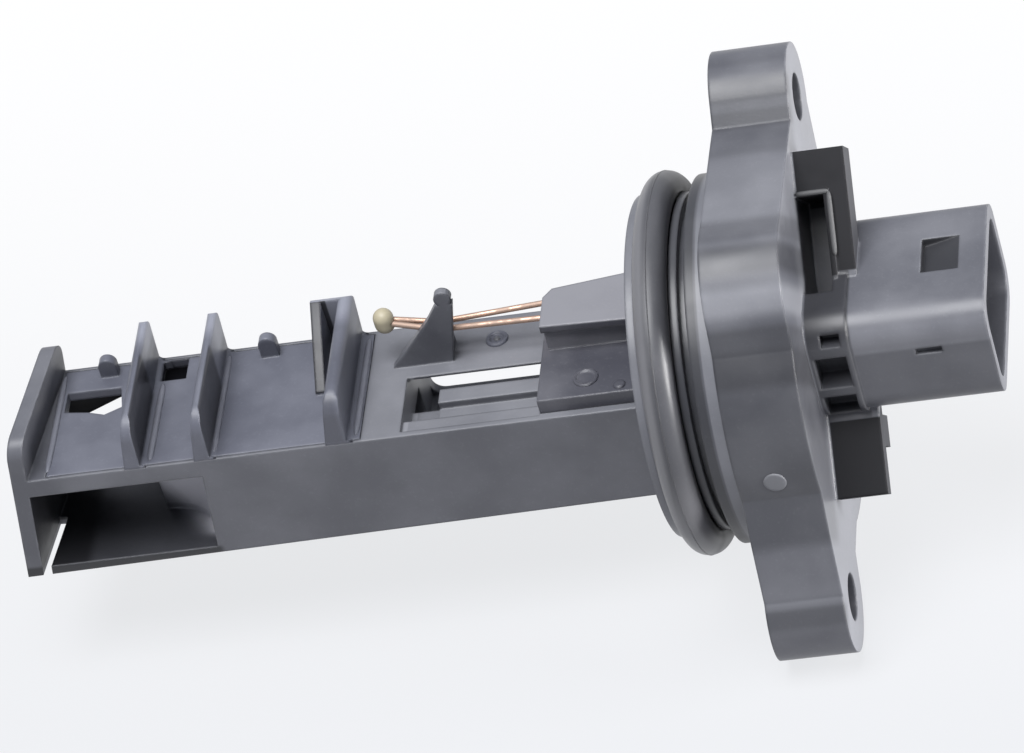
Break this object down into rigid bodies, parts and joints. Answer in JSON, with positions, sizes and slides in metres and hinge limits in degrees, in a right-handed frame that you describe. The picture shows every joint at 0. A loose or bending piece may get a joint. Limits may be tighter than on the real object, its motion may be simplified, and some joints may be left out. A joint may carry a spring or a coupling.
{
  "type": "mass airflow sensor",
  "caption": "Plug-in air flow sensor: flange with bolt holes, O-ring spigot, ribbed flow-channel probe with thermistor, and a plug socket.",
  "frame": {"origin": "centre of the flange's seating face, on the spigot axis and midway between the bolt holes", "axes": "+X along the probe axis, from the probe tip to the plug socket; +Z out of the ribbed face of the probe; +Y away from the inlet side"},
  "size_m": [0.1171, 0.053, 0.053],
  "materials": {
    "housing": "glass-filled black plastic, satin, greyish bloom",
    "cover": "glass-filled black plastic, satin, slightly bluer than the housing",
    "seal": "black elastomer, soft sheen",
    "bead": "cream coating over the thermistor",
    "lead": "dull tinned copper wire",
    "board": "green solder mask",
    "silicon": "polished silicon",
    "ceramic": "white ceramic",
    "package": "black moulding compound",
    "capacitor": "tan ceramic",
    "terminal": "tin-plated brass"
  },
  "bodies": {
    "root": {"housing": "housing", "channel_cover": "cover", "electronics_cover": "cover", "rear_cover": "housing", "o_ring": "seal", "thermistor_bead": "bead", "thermistor_lead_a": "lead", "thermistor_lead_b": "lead", "circuit_board": "board", "sensing_chip": "silicon", "chip_frame": "ceramic", "control_chip": "package", "capacitor_a": "capacitor", "capacitor_b": "capacitor", "capacitor_c": "capacitor", "resistor_a": "package", "resistor_b": "package", "terminal_1": "terminal", "terminal_2": "terminal", "terminal_3": "terminal", "terminal_4": "terminal", "terminal_5": "terminal"}
  },
  "joints": []
}
